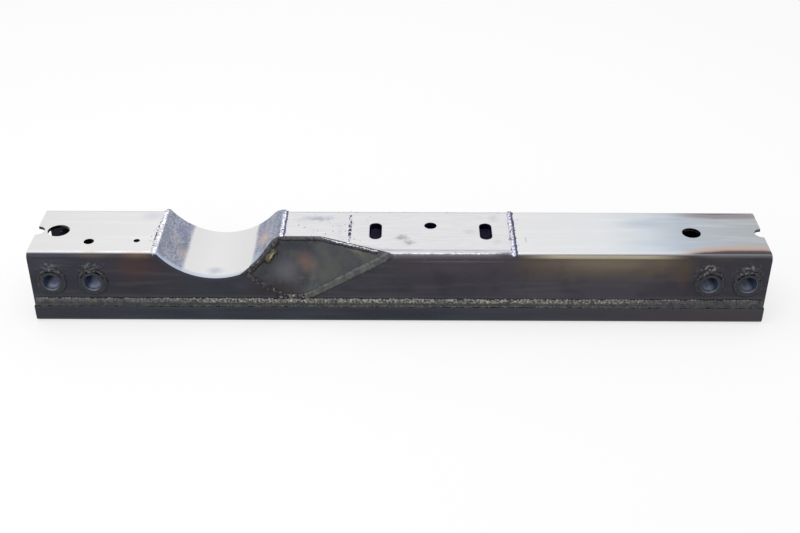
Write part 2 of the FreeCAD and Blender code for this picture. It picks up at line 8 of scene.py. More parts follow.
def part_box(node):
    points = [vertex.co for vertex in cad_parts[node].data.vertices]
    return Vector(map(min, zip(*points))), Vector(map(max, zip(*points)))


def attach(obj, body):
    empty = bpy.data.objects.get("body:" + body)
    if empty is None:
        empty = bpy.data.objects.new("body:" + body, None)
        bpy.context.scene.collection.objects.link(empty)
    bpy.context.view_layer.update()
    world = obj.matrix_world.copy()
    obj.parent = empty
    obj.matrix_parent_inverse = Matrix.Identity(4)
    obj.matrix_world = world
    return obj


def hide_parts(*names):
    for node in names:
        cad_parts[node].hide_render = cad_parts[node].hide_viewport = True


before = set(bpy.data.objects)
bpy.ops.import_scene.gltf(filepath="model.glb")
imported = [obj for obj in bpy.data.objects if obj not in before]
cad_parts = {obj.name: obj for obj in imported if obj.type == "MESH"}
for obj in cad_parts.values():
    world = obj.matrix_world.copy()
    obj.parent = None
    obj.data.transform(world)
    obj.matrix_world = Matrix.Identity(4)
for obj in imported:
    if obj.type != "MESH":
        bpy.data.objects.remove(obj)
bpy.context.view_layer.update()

# Lower channel: a shallow tray of 3.2 mm hot-rolled sheet, pressed with its legs up.
# It wraps the upper channel from outside and is seam-welded to it along both legs.

MM = 0.001
SAME_PLACE = 0.00001
ROUND_BELOW = math.radians(35)


def linear(colour):
    """A colour written as sRGB hex, as the linear values that the nodes take."""
    shares = [int(colour[at:at + 2], 16) / 255 for at in (0, 2, 4)]
    return [s / 12.92 if s <= 0.04045 else ((s + 0.055) / 1.055) ** 2.4 for s in shares] + [1.0]


def add(tree, kind, settings=None, links=None, stops=None):
    """Adds a node with its settings, its sockets' values or links, and the stops of its ramp."""
    node = tree.nodes.new("ShaderNode" + kind)
    for name, value in (settings or {}).items():
        setattr(node, name, value)
    for name, value in (links or {}).items():
        if isinstance(value, bpy.types.NodeSocket):
            tree.links.new(value, node.inputs[name])
        else:
            node.inputs[name].default_value = value
    if stops:
        ramp = node.color_ramp.elements
        while len(ramp) < len(stops):
            ramp.new(0.5)
        for element, (place, colour) in zip(ramp, stops):
            element.position = place
            element.color = linear(colour)
    return node


def start_steel(name, roughness, metallic=1.0):
    """Bare steel: its material, node tree, shader, and the place on the piece in millimetres."""
    steel = bpy.data.materials.new(name)
    steel.use_nodes = True
    tree = steel.node_tree
    shader = tree.nodes["Principled BSDF"]
    shader.inputs["Metallic"].default_value = metallic
    shader.inputs["Roughness"].default_value = roughness
    metres = add(tree, "TexCoord").outputs["Object"]
    place = add(tree, "VectorMath", {"operation": "SCALE"}, {0: metres, "Scale": 1000.0}).outputs[0]
    return steel, tree, shader, place


def grain(tree, place, size, detail=4.0, stretch=(1.0, 1.0, 1.0)):
    """Uneven cloud from 0 to 1 whose lumps are about size millimetres apart."""
    spread = add(tree, "VectorMath", {"operation": "DIVIDE"}, {0: place, 1: [size * s for s in stretch]})
    return add(tree, "TexNoise", None, {"Vector": spread.outputs[0], "Scale": 1.0, "Detail": detail})


def shift(tree, place, size, reach):
    """The place, pushed about by up to reach millimetres, so that what is drawn there gets a ragged rim."""
    cloud = grain(tree, place, size).outputs["Color"]
    centred = add(tree, "VectorMath", {"operation": "SUBTRACT"}, {0: cloud, 1: (0.5, 0.5, 0.5)})
    push = add(tree, "VectorMath", {"operation": "SCALE"}, {0: centred.outputs[0], "Scale": 2.5 * reach})
    return add(tree, "VectorMath", {"operation": "ADD"}, {0: place, 1: push.outputs[0]}).outputs[0]


def fade(tree, value, start, end, strength=1.0):
    """Share that grows from 0 where the value is start to its strength where it is end."""
    return add(tree, "MapRange", {"interpolation_type": "SMOOTHSTEP"}, {
        "Value": value, "From Min": start, "From Max": end, "To Min": 0.0, "To Max": strength,
    }).outputs[0]


def times(tree, first, second):
    """Product of two shares."""
    return add(tree, "Math", {"operation": "MULTIPLY"}, {0: first, 1: second}).outputs[0]


def band(tree, value, rise, fall, strength=1.0):
    """Share of a band: it grows between the two values of rise, and goes between the two of fall."""
    return times(tree, fade(tree, value, *rise), fade(tree, value, *fall, strength))


def over(tree, amount, under, upper):
    """One colour laid over another; each is a hex colour or the output of a node."""
    under = linear(under) if isinstance(under, str) else under
    upper = linear(upper) if isinstance(upper, str) else upper
    return add(tree, "Mix", {"data_type": "RGBA"}, {0: amount, 6: under, 7: upper}).outputs[2]


def patch(tree, place, centre, reach, strength=1.0, soft=1.0):
    """Share of an oval patch: full in its middle and gone at its reach; a soft one fades all the way."""
    offset = add(tree, "VectorMath", {"operation": "SUBTRACT"}, {0: place, 1: centre})
    scaled = add(tree, "VectorMath", {"operation": "DIVIDE"}, {0: offset.outputs[0], 1: reach})
    far = add(tree, "VectorMath", {"operation": "LENGTH"}, {0: scaled.outputs[0]})
    return fade(tree, far.outputs["Value"], 1.0, 1.0 - soft, strength)


def rough_skin(tree, shader, height, depth, roughness):
    """Bump whose relief is depth millimetres, and a roughness that wanders between two values with it."""
    bump = add(tree, "Bump", None, {"Height": height, "Distance": depth * MM, "Strength": 1.0})
    tree.links.new(bump.outputs[0], shader.inputs["Normal"])
    smooth, coarse = roughness
    wander = add(tree, "MapRange", None, {"Value": height, "To Min": smooth, "To Max": coarse})
    tree.links.new(wander.outputs[0], shader.inputs["Roughness"])


def whole_copy(node, steel):
    """A CAD piece as one smooth skin: its triangles joined, and shaded round where it is bent."""
    copy = bpy.data.objects.new(node + "_skin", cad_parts[node].data.copy())
    bpy.context.collection.objects.link(copy)
    bpy.ops.object.select_all(action="DESELECT")
    copy.select_set(True)
    bpy.context.view_layer.objects.active = copy
    bpy.ops.object.mode_set(mode="EDIT")
    bpy.ops.mesh.select_all(action="SELECT")
    bpy.ops.mesh.remove_doubles(threshold=SAME_PLACE)
    bpy.ops.object.mode_set(mode="OBJECT")
    bpy.ops.mesh.customdata_custom_splitnormals_clear()
    bpy.ops.object.shade_smooth_by_angle(angle=ROUND_BELOW)
    even = copy.modifiers.new("even", "WEIGHTED_NORMAL")
    even.weight = 100
    even.keep_sharp = True
    bpy.ops.object.modifier_apply(modifier="even")
    copy.data.materials.clear()
    copy.data.materials.append(steel)
    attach(copy, "root")
    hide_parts(node)


# Hot-rolled sheet, as rolled: a thin blue-black scale, satin, streaked the way it went through the rolls.
# The scale is dull brown at the right, and rubbed thin along the bend that the beam slides on.
tray_steel, tree, shader, place = start_steel("hot_rolled_tray", 0.42)
streaks = grain(tree, place, 9.0, stretch=(9.0, 1.0, 1.0)).outputs["Fac"]
specks = grain(tree, place, 1.6, detail=2.0).outputs["Fac"]
ragged = shift(tree, place, 30.0, 12.0)
axes = add(tree, "SeparateXYZ", None, {0: ragged}).outputs
skin = over(tree, fade(tree, streaks, 0.35, 0.7), "383a43", "41434b")
skin = over(tree, fade(tree, axes["X"], 60.0, 330.0, 0.8), skin, "494548")
skin = over(tree, fade(tree, axes["X"], -250.0, -340.0, 0.6), skin, "3b3c43")
skin = over(tree, fade(tree, specks, 0.62, 0.78, 0.5), skin, "55545a")
bend = add(tree, "SeparateXYZ", None, {0: place}).outputs
skin = over(tree, fade(tree, bend["Z"], 4.0, 0.8, 0.45), skin, "55555c")
skin = over(tree, fade(tree, bend["Z"], 15.5, 18.6, 0.6), skin, "47474b")
tree.links.new(skin, shader.inputs["Base Color"])
rough_skin(tree, shader, specks, 0.06, (0.34, 0.55))
whole_copy("lower_channel", tray_steel)

# Upper channel: the beam's main pressing, 3.2 mm sheet bent to a channel that opens downwards.
# Its web was ground clean for welding; its legs keep the scale and the colours of the heat.

# Ground web over scaled legs: near-white satin metal on top, turning blue-grey at the right end, where it
# was left unground; the near-white is partly a painted reflection of the white room, laid where the faces
# turn up.
# Dark scale on the legs with purple, brown and straw heat colours. Inside, painted shade near the open ends,
# and away from them a matt lilac wash, painted light that lifts the shade inside the beam, guessed from the
# tint that the photograph has in the holes.
channel_steel, tree, shader, place = start_steel("ground_web_scaled_legs", 0.38)
loose_place = shift(tree, place, 20.0, 1.2)
loose = add(tree, "SeparateXYZ", None, {0: shift(tree, place, 30.0, 6.0)}).outputs
exact = add(tree, "SeparateXYZ", None, {0: place}).outputs
soot = grain(tree, place, 3.2, detail=3.0).outputs["Fac"]
streaks = grain(tree, place, 7.0, stretch=(10.0, 1.0, 1.0)).outputs["Fac"]
mottle = grain(tree, place, 26.0).outputs["Fac"]
specks = grain(tree, place, 1.5, detail=2.0).outputs["Fac"]

BEAM = (-368.3, 368.3)


def along_beam(colours):
    """Ramp stops from places along the beam in millimetres."""
    return [((x - BEAM[0]) / (BEAM[1] - BEAM[0]), colour) for x, colour in colours]


share = add(tree, "MapRange", None, {
    "Value": loose["X"], "From Min": BEAM[0], "From Max": BEAM[1],
}).outputs[0]
leg = add(tree, "ValToRGB", None, {0: share}, along_beam([
    (-366, "3b3c45"), (-318, "393b43"), (-284, "3e3c42"), (-262, "443a3c"), (-236, "3e3a40"),
    (-195, "3b3c45"), (-20, "403e45"), (30, "474147"), (108, "454147"), (130, "524945"),
    (200, "5f564d"), (258, "5c5147"), (284, "463f3f"), (300, "3d3a3f"), (366, "3e3d43"),
])).outputs[0]
foot = add(tree, "ValToRGB", None, {0: share}, along_beam([
    (-366, "383a43"), (-262, "3b393f"), (-180, "3d3f47"), (60, "3f3d44"), (130, "45434a"),
    (230, "46434a"), (284, "3d3a40"), (366, "3b3a40"),
])).outputs[0]
skin = over(tree, fade(tree, loose["Z"], 46.0, 66.0), foot, leg)
skin = over(tree, fade(tree, mottle, 0.45, 0.7, 0.35), skin, "2f2f37")
skin = over(tree, fade(tree, streaks, 0.5, 0.72, 0.25), skin, "5a5658")
skin = over(tree, fade(tree, specks, 0.66, 0.8, 0.4), skin, "6a6667")
# Each patch of heat colour: its colour, its middle, how far it reaches each way, and its strength.
LEG_HEAT = [
    ("7d7366", (205, -44, 71.0), (100, 4, 12.0), 0.5), ("33313a", (306, -44, 47.0), (28, 4, 30.0), 0.7),
    ("33313a", (346, -44, 47.0), (30, 4, 30.0), 0.6), ("5b4a3a", (283, -44, 60.0), (12, 4, 26.0), 0.4),
    ("6b5a45", (-260, -44, 76.5), (26, 5, 5.0), 0.5), ("6d6049", (-304, -44, 76.8), (30, 5, 4.6), 0.3),
    ("553f3c", (-262, -44, 64.0), (30, 4, 22.0), 0.45), ("2f3038", (-347, -44, 47.0), (26, 4, 26.0), 0.6),
    ("2f3038", (-306, -44, 47.0), (26, 4, 26.0), 0.6), ("4d4751", (60, -44, 64.0), (60, 4, 10.0), 0.4),
    ("3a3437", (-136, -44, 38.0), (30, 4, 20.0), 0.8), ("67666a", (58, -44, 73.0), (80, 4, 3.0), 0.6),
]
for hue, centre, reach, strength in LEG_HEAT:
    skin = over(tree, patch(tree, loose_place, centre, reach, strength), skin, hue)
# Painted light: a lighter grey low on the legs, just above the seam bead, lifting the shade where the bead
# meets the leg.
skin = over(tree, fade(tree, exact["Z"], 33.0, 28.5, 0.25), skin, "5c5c60")
# Straw heat tint along the lower bend at the right, partly a painted highlight along the bend.
straw_and_highlight_line = band(tree, exact["Z"], (75.0, 76.5), (78.7, 77.7))
straw_and_highlight_span = band(tree, exact["X"], (112.0, 165.0), (292.0, 240.0), 0.9)
skin = over(tree, times(tree, straw_and_highlight_line, straw_and_highlight_span), skin, "aaa18c")
edge_line = band(tree, exact["Z"], (76.6, 77.6), (79.0, 78.2))
skin = over(tree, times(tree, edge_line, fade(tree, exact["X"], 280.0, 320.0, 0.45)), skin, "6d716c")
for x, tone in ((-347.7, "64666a"), (-306.3, "64666a"), (307.2, "827d79"), (348.5, "72716f")):
    smoke = patch(tree, place, (x, -44, 59.0), (21, 4, 16.0), 1.0, 0.5)
    skin = over(tree, times(tree, smoke, fade(tree, soot, 0.5, 0.64, 0.6)), skin, "54565a")
    spat = patch(tree, place, (x, -44, 64.5), (10, 4, 6.0), 1.0, 0.6)
    skin = over(tree, times(tree, spat, fade(tree, soot, 0.47, 0.57, 0.9)), skin, tone)
web = add(tree, "ValToRGB", None, {0: share}, along_beam([
    (-366, "dfdedf"), (-250, "e2e1e2"), (120, "e2e2e3"), (205, "dfe1e4"), (252, "cfd6dd"),
    (286, "b6bec9"), (330, "b0b6bc"), (366, "adb1b4"),
])).outputs[0]
web = over(tree, fade(tree, streaks, 0.45, 0.75, 0.25), web, "f2f2f4")
# On the web, each patch also says how much of it is a soft rim.
WEB_HEAT = [
    ("c9ccd4", (-256, 30, 79), (17, 13, 6), 0.6, 1.0), ("9aa6bd", (250, 18, 79), (36, 15, 6), 0.35, 1.0),
    ("b9c4d6", (262, -20, 79), (52, 10, 6), 0.5, 1.0), ("c4a897", (345, -47, 79), (80, 26, 12), 0.9, 0.35),
    ("8f7c84", (345, -47, 79), (74, 17.5, 12), 0.9, 0.25),
    ("4b454b", (345, -47, 79), (71, 14.5, 12), 1.0, 0.2),
    ("93878a", (337, 34, 79), (66, 8, 8), 0.85, 0.6), ("726c88", (330, 41, 79), (60, 6, 8), 0.9, 0.6),
    ("8f8a86", (327.9, 30.1, 79), (7, 1.4, 6), 0.8, 0.6),
    ("bfc3cb", (127.3, -14.8, 79), (1.4, 7, 6), 0.7, 0.6),
    ("cfc2a8", (-304.6, -40.4, 79), (18, 3.5, 5), 0.6, 1.0),
    ("c9ab94", (-262, -40.6, 79), (20, 3.5, 5), 0.6, 1.0),
]
for hue, centre, reach, strength, soft in WEB_HEAT:
    web = over(tree, patch(tree, loose_place, centre, reach, strength, soft), web, hue)
pits = grain(tree, place, 2.4, detail=1.0).outputs["Fac"]
beside_bead = patch(tree, place, (-245.1, -8, 79.4), (1.6, 38, 3), soft=0.3)
web = over(tree, times(tree, beside_bead, fade(tree, pits, 0.47, 0.53)), web, "3a3456")
# Painted shade on the web's rim where it turns into the bend, dulling the reflection there.
web = over(tree, fade(tree, exact["Z"], 79.36, 78.9, 0.8), web, "8c8c90")
# Painted light by facing: the pale web colour goes only where the faces turn up, partly a painted reflection
# of the white room; hole walls and other side faces keep the dark leg colour.
facing = add(tree, "SeparateXYZ", None, {0: add(tree, "TexCoord").outputs["Normal"]}).outputs["Z"]
from_middle = add(tree, "Math", {"operation": "ABSOLUTE"}, {0: exact["Y"]}).outputs[0]
on_web = times(tree, times(tree, fade(tree, facing, 0.35, 0.75), fade(tree, exact["Z"], 77.4, 79.1)),
               fade(tree, from_middle, 42.4, 40.0))
skin = over(tree, on_web, skin, web)
# Painted shade: the channel's inside faces are near-black.
inside = times(tree, fade(tree, from_middle, 42.2, 41.6), fade(tree, exact["Z"], 77.4, 76.9))
skin = over(tree, inside, skin, "26262e")
# Painted light: away from the open ends, the inside faces take a pale non-metal lilac that lifts the shade
# inside the beam.
from_centre = add(tree, "Math", {"operation": "ABSOLUTE"}, {0: exact["X"]}).outputs[0]
painted_inside_light = times(tree, inside, fade(tree, from_centre, 335.0, 200.0))
skin = over(tree, painted_inside_light, skin, "cfc9ff")
metallic_share = add(tree, "MapRange", None, {"Value": painted_inside_light, "To Min": 1.0, "To Max": 0.0}).outputs[0]
tree.links.new(metallic_share, shader.inputs["Metallic"])
tree.links.new(skin, shader.inputs["Base Color"])
rough_skin(tree, shader, specks, 0.05, (0.3, 0.46))
whole_copy("upper_channel", channel_steel)

# Sleeves: four turned tubes right through the beam for 16 mm bolts, each held by a fillet weld at both ends.
# The welds were laid fast, in overlapping puddles, and their smoke blackened the sheet round them.

# Turned tube, smooth inside, with a painted highlight in its bore: a cold blue-grey stripe along its bottom
# that grows brighter with depth; near-black outside the bore.
sleeve_steel, tree, shader, place = start_steel("turned_tube_painted_bore_highlight", 0.4, 0.2)
rings = grain(tree, place, 2.4, detail=3.0, stretch=(1.0, 3.0, 1.0)).outputs["Fac"]
exact = add(tree, "SeparateXYZ", None, {0: place}).outputs
SLEEVES = ("left_outer", "left_inner", "right_inner", "right_outer")
# How far a place lies from the nearest sleeve's axis, sideways and in all. The axes lie at one height.
aside = BEAM[1] - BEAM[0]
for name in SLEEVES:
    low, high = (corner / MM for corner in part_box("sleeve_" + name))
    offset = add(tree, "Math", {"operation": "SUBTRACT"}, {0: exact["X"], 1: (low.x + high.x) / 2}).outputs[0]
    offset = add(tree, "Math", {"operation": "ABSOLUTE"}, {0: offset}).outputs[0]
    aside = add(tree, "Math", {"operation": "MINIMUM"}, {0: aside, 1: offset}).outputs[0]
above = add(tree, "Math", {"operation": "SUBTRACT"}, {0: exact["Z"], 1: (low.z + high.z) / 2}).outputs[0]
spoke = add(tree, "CombineXYZ", None, {"X": aside, "Y": above, "Z": 0.0}).outputs[0]
radius = add(tree, "VectorMath", {"operation": "LENGTH"}, {0: spoke}).outputs["Value"]
from_middle = add(tree, "Math", {"operation": "ABSOLUTE"}, {0: exact["Y"]}).outputs[0]
# Painted highlight and shade in the bores: bright along each sleeve's axis, dimmer in the right-hand sleeves,
# painted shade to the sides of the axis and near the mouths, and near-black outside the bore.
skin = over(tree, fade(tree, rings, 0.35, 0.7), "cdd8f4", "edf2ff")
skin = over(tree, fade(tree, exact["X"], -20.0, 20.0, 0.4), skin, "9aa3b4")
skin = over(tree, fade(tree, aside, 2.6, 7.4), skin, "525d76")
skin = over(tree, fade(tree, from_middle, 39.0, 43.0, 0.8), skin, "464f64")
skin = over(tree, fade(tree, radius, 9.0, 9.6), skin, "1b1b20")
tree.links.new(skin, shader.inputs["Base Color"])
rough_skin(tree, shader, rings, 0.03, (0.25, 0.42))
for name in SLEEVES:
    whole_copy("sleeve_" + name, sleeve_steel)

# The puddle of one stroke of the welder: a lens of metal that leans forward, flat where it lies on the plate.
PUDDLE_BASE = -0.45
PUDDLE_LEAN = 0.35

bpy.ops.object.select_all(action="DESELECT")
bpy.ops.mesh.primitive_uv_sphere_add(segments=12, ring_count=8, radius=1.0)
puddle = bpy.context.active_object
bpy.ops.object.mode_set(mode="EDIT")
bpy.ops.mesh.select_all(action="SELECT")
bpy.ops.mesh.bisect(plane_co=(0, 0, PUDDLE_BASE), plane_no=(0, 0, 1), clear_inner=True, use_fill=True)
bpy.ops.object.mode_set(mode="OBJECT")
for vertex in puddle.data.vertices:
    vertex.co.x += PUDDLE_LEAN * max(vertex.co.z, 0.0) ** 2
puddle_mesh = puddle.data
bpy.data.objects.remove(puddle)

grit = bpy.data.textures.new("grit", "CLOUDS")
grit.noise_scale = 0.0035
grit.noise_depth = 3


def walk(corners, pitch):
    """Stations pitch apart along a line of corners; a corner is a place and the way out of the surface."""
    stations = []
    ahead = pitch / 2
    for (start, outward), (end, next_outward) in zip(corners, corners[1:]):
        start, end = Vector(start), Vector(end)
        length = (end - start).length
        at = ahead
        while at < length:
            blend = at / length
            out = Vector(outward).lerp(Vector(next_outward), blend).normalized()
            stations.append((start.lerp(end, blend), (end - start).normalized(), out))
            at += pitch
        ahead = at - length
    return stations


def lay_bead(name, stations, reach, steel, nodes, seed, voxel=0.7, uneven=0.14, wander=0.3, roughness=0.25):
    """Fuses one puddle at each station into a bead with a gritty skin, which stands in for its nodes."""
    draw = random.Random(seed)
    bead = bpy.data.objects.new(name, bpy.data.meshes.new(name))
    bpy.context.collection.objects.link(bead)
    copies = [bead]
    for centre, along, out in stations:
        side = out.cross(along).normalized()
        size = [r * draw.uniform(1 - uneven, 1 + uneven) * MM for r in reach]
        off = side * draw.uniform(-wander, wander) + along * draw.uniform(-wander, wander)
        turn = Matrix((along, side, out)).transposed().to_4x4()
        copy = bpy.data.objects.new(name + "_puddle", puddle_mesh.copy())
        copy.data.transform(Matrix.Translation((centre + off) * MM) @ turn @ Matrix.Diagonal((*size, 1.0)))
        bpy.context.collection.objects.link(copy)
        copies.append(copy)
    bpy.ops.object.select_all(action="DESELECT")
    for copy in copies:
        copy.select_set(True)
    bpy.context.view_layer.objects.active = bead
    bpy.ops.object.join()
    fuse = bead.modifiers.new("fuse", "REMESH")
    fuse.mode = "VOXEL"
    fuse.voxel_size = voxel * MM
    rough = bead.modifiers.new("rough", "DISPLACE")
    rough.texture = grit
    rough.texture_coords = "LOCAL"
    rough.strength = roughness * MM
    rough.mid_level = 0.5
    for modifier in ("fuse", "rough"):
        bpy.ops.object.modifier_apply(modifier=modifier)
    bpy.ops.object.shade_smooth()
    bead.data.materials.append(steel)
    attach(bead, "root")
    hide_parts(*nodes)


# Weld metal left as it froze and smoked over: dark brown-grey, semi-matt, with tan flecks of slag on top.
ring_steel, tree, shader, place = start_steel("smoked_weld", 0.5)
flecks = grain(tree, place, 2.4, detail=3.0).outputs["Fac"]
exact = add(tree, "SeparateXYZ", None, {0: place}).outputs
skin = over(tree, fade(tree, flecks, 0.4, 0.62), "393a40", "46474a")
upper_flecks = times(tree, fade(tree, flecks, 0.54, 0.64), fade(tree, exact["Z"], 54.0, 61.0))
skin = over(tree, upper_flecks, skin, "77746e")
skin = over(tree, fade(tree, flecks, 0.68, 0.76, 0.6), skin, "74726d")
tree.links.new(skin, shader.inputs["Base Color"])
rough_skin(tree, shader, flecks, 0.12, (0.4, 0.6))

RING_PUDDLES = 26
RING_RADIUS = 13.2
RING_FACE = 44.2
RING_LEAN = 0.45
HEAVY_ABOVE = 0.3
HEAVY_BY = 0.9

for index, name in enumerate(SLEEVES):
    for side, face in (("front", -1), ("back", 1)):
        low, high = (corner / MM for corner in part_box("ring_weld_%s_%s" % (name, side)))
        middle = (low + high) / 2
        stations = []
        for step in range(RING_PUDDLES):
            angle = math.tau * step / RING_PUDDLES
            spoke = Vector((math.cos(angle), 0, math.sin(angle)))
            along = Vector((-math.sin(angle), 0, math.cos(angle)))
            heavier = HEAVY_BY if spoke.z > HEAVY_ABOVE else 0.0
            centre = Vector((middle.x, face * RING_FACE, middle.z)) + spoke * (RING_RADIUS + heavier)
            stations.append((centre, along, (spoke * RING_LEAN + Vector((0, face, 0))).normalized()))
        ring = "%s_%s" % (name, side)
        lay_bead("ring_bead_" + ring, stations, (2.8, 2.5, 2.0), ring_steel, ["ring_weld_" + ring],
                 10 + index, voxel=0.5, uneven=0.22, wander=0.4, roughness=0.4)

# Saddle plate: 3.2 mm plate rolled to a 70 mm radius, for the round pipe or shaft that crosses the beam.
# Its floor is bright metal with a painted reflection of the white room where it faces up; its walls show a
# grainy blue-grey with the heat's straw and violet, and painted shade on faces that turn sideways or down.
saddle_steel, tree, shader, place = start_steel("rolled_plate_heat_tinted", 0.36)
ragged = shift(tree, place, 8.0, 3.0)
exact = add(tree, "SeparateXYZ", None, {0: shift(tree, place, 14.0, 1.5)}).outputs
fine = grain(tree, place, 1.8, detail=5.0).outputs["Fac"]
cross = grain(tree, place, 6.0, stretch=(1.0, 3.0, 1.0)).outputs["Fac"]
skin = over(tree, fade(tree, fine, 0.38, 0.62), "7a8196", "adb2bf")
skin = over(tree, fade(tree, cross, 0.5, 0.66, 0.55), skin, "666d84")
SADDLE_HEAT = [
    ("cfaf9a", (-138.6, 4.3, 67.7), (10, 17, 15), 0.75), ("bda79f", (-219.5, -12, 61), (8, 20, 12), 0.5),
    ("b0a3a0", (-228.4, 1.7, 67.6), (8, 18, 11), 0.4), ("8f88a8", (-223, 24, 63), (9, 20, 12), 0.6),
    ("9c94b0", (-133, 20, 70), (8, 20, 12), 0.5), ("74798c", (-238, -6, 75), (10, 52, 10), 0.5),
    ("a9bfd2", (-143, -26, 61), (11, 18, 14), 0.8), ("9a8fae", (-141, 26, 62), (8, 16, 10), 0.5),
]
for hue, centre, reach, strength in SADDLE_HEAT:
    skin = over(tree, patch(tree, ragged, centre, reach, strength), skin, hue)
LOWEST_AT = -181.6
from_low = add(tree, "Math", {"operation": "SUBTRACT"}, {0: exact["X"], 1: LOWEST_AT}).outputs[0]
from_low = add(tree, "Math", {"operation": "ABSOLUTE"}, {0: from_low}).outputs[0]
# Painted reflection: the saddle's floor, near its lowest line, is near-white.
skin = over(tree, fade(tree, from_low, 36.5, 32.0), skin, "e1e0e1")
skin = over(tree, patch(tree, ragged, (-185, -31, 51.4), (13, 9, 6), 0.6), skin, "a6afbd")
plain = add(tree, "SeparateXYZ", None, {0: place}).outputs
skin = over(tree, fade(tree, exact["Y"], -36.5, -41.5, 0.75), skin, "bac5d8")
skin = over(tree, fade(tree, plain["Y"], -43.9, -44.35, 0.9), skin, "3f4150")
# Painted shade on faces that turn sideways or down.
facing = add(tree, "SeparateXYZ", None, {0: add(tree, "TexCoord").outputs["Normal"]}).outputs["Z"]
skin = over(tree, fade(tree, facing, 0.15, -0.1), skin, "2b2b33")
tree.links.new(skin, shader.inputs["Base Color"])
rough_skin(tree, shader, fine, 0.07, (0.28, 0.48))
whole_copy("saddle_plate", saddle_steel)

# Clearance plate: 3.2 mm plate bent twice into a scoop, let into the beam's front below the link plate.
# It was put in unground, so it keeps a dull grey scale, with a red-brown bloom of heat in its middle.
clearance_steel, tree, shader, place = start_steel("bent_plate_scaled", 0.45)
ragged = shift(tree, place, 16.0, 6.0)
fine = grain(tree, place, 2.2, detail=5.0).outputs["Fac"]
clouds = grain(tree, place, 13.0).outputs["Fac"]
skin = over(tree, fade(tree, clouds, 0.38, 0.64), "404247", "4c4c4b")
skin = over(tree, fade(tree, fine, 0.52, 0.7, 0.3), skin, "5a5a5b")
SCOOP_HEAT = [
    ("7f665e", (-93.9, -25.6, 59.0), (15, 16, 14), 0.55), ("4d4f4a", (-66, -30, 54), (42, 28, 20), 0.5),
    ("6f6a58", (-42, -32.5, 76), (20, 6, 4.0), 0.7), ("606067", (-116, -32, 54), (22, 22, 20), 0.8),
    ("37383f", (-108, -18, 75), (32, 11, 8), 0.6), ("3c3637", (-122, -39, 36), (26, 12, 11), 0.8),
    ("645d56", (-96, -36, 46), (16, 5, 3), 0.5), ("36373c", (-50, -34, 64), (30, 18, 18), 0.45),
]
for hue, centre, reach, strength in SCOOP_HEAT:
    skin = over(tree, patch(tree, ragged, centre, reach, strength), skin, hue)
flush = add(tree, "SeparateXYZ", None, {0: place}).outputs["Y"]
skin = over(tree, fade(tree, flush, -43.4, -44.2), skin, "3d3c43")
tree.links.new(skin, shader.inputs["Base Color"])
rough_skin(tree, shader, fine, 0.09, (0.36, 0.56))
whole_copy("clearance_plate", clearance_steel)

# Link plate and mount plate: flat plates let flush into the top, 3.2 and 6.4 mm thick, ground after welding.
# The thick one takes the transmission's mount in its two slots, with a pilot hole between them.

# Ground plate: near-white, partly a painted reflection of the white room on its top, with scratches along the
# beam, grey thumb smudges and a few pits of spatter.
# A grinding disc's scratches are finer than a pixel, so they are drawn about a millimetre apart.
plate_steel, tree, shader, place = start_steel("ground_plate", 0.34)
ragged = shift(tree, place, 5.0, 4.0)
exact = add(tree, "SeparateXYZ", None, {0: place}).outputs
scratches = grain(tree, place, 1.0, detail=3.0, stretch=(18.0, 0.8, 1.0)).outputs["Fac"]
pits = grain(tree, place, 2.6, detail=1.0).outputs["Fac"]
skin = over(tree, fade(tree, scratches, 0.35, 0.7), "dcdce0", "e6e5e6")
SMUDGES = [
    ("a4acbe", (-84, 26, 79), (22, 8, 4), 0.85), ("c3c7d3", (-100, 24, 79), (10, 7, 4), 0.5),
    ("a2a2a4", (3, -11, 79), (10, 8, 4), 0.95), ("a8a8aa", (10, -20, 79), (9, 7, 4), 0.85),
    ("d3cdc8", (71, 1, 79), (10, 7, 4), 0.8), ("cdc8cc", (97, 27, 79), (9, 10, 4), 0.7),
    ("cfcdd0", (98, -19, 79), (8, 7, 4), 0.7), ("b7a98f", (-38, -30, 79), (18, 5, 4), 0.6),
    ("c9c9d4", (-60, 0, 79), (6, 30, 4), 0.3), ("b5b9c6", (-20, -33, 79), (26, 4, 4), 0.5),
]
for hue, centre, reach, strength in SMUDGES:
    skin = over(tree, patch(tree, ragged, centre, reach, strength), skin, hue)
on_link_bead = patch(tree, place, (-50.3, 8, 79.4), (2.0, 34, 3), soft=0.3)
skin = over(tree, times(tree, on_link_bead, fade(tree, pits, 0.45, 0.5)), skin, "37305f")
left_pits = times(tree, fade(tree, pits, 0.77, 0.8), fade(tree, exact["X"], -40.0, -60.0))
skin = over(tree, left_pits, skin, "6b6680")
near_front = band(tree, exact["Y"], (-32.6, -34.4), (-37.6, -36.2))
skin = over(tree, times(tree, near_front, fade(tree, scratches, 0.3, 0.55, 0.7)), skin, "a4a7b2")
# Painted shade: the walls of the holes and slots, dark navy.
walls = fade(tree, exact["Z"], 79.1, 78.4)
skin = over(tree, walls, skin, "38336a")
tree.links.new(skin, shader.inputs["Base Color"])
rough_skin(tree, shader, scratches, 0.02, (0.26, 0.42))
whole_copy("link_plate", plate_steel)
whole_copy("mount_plate", plate_steel)

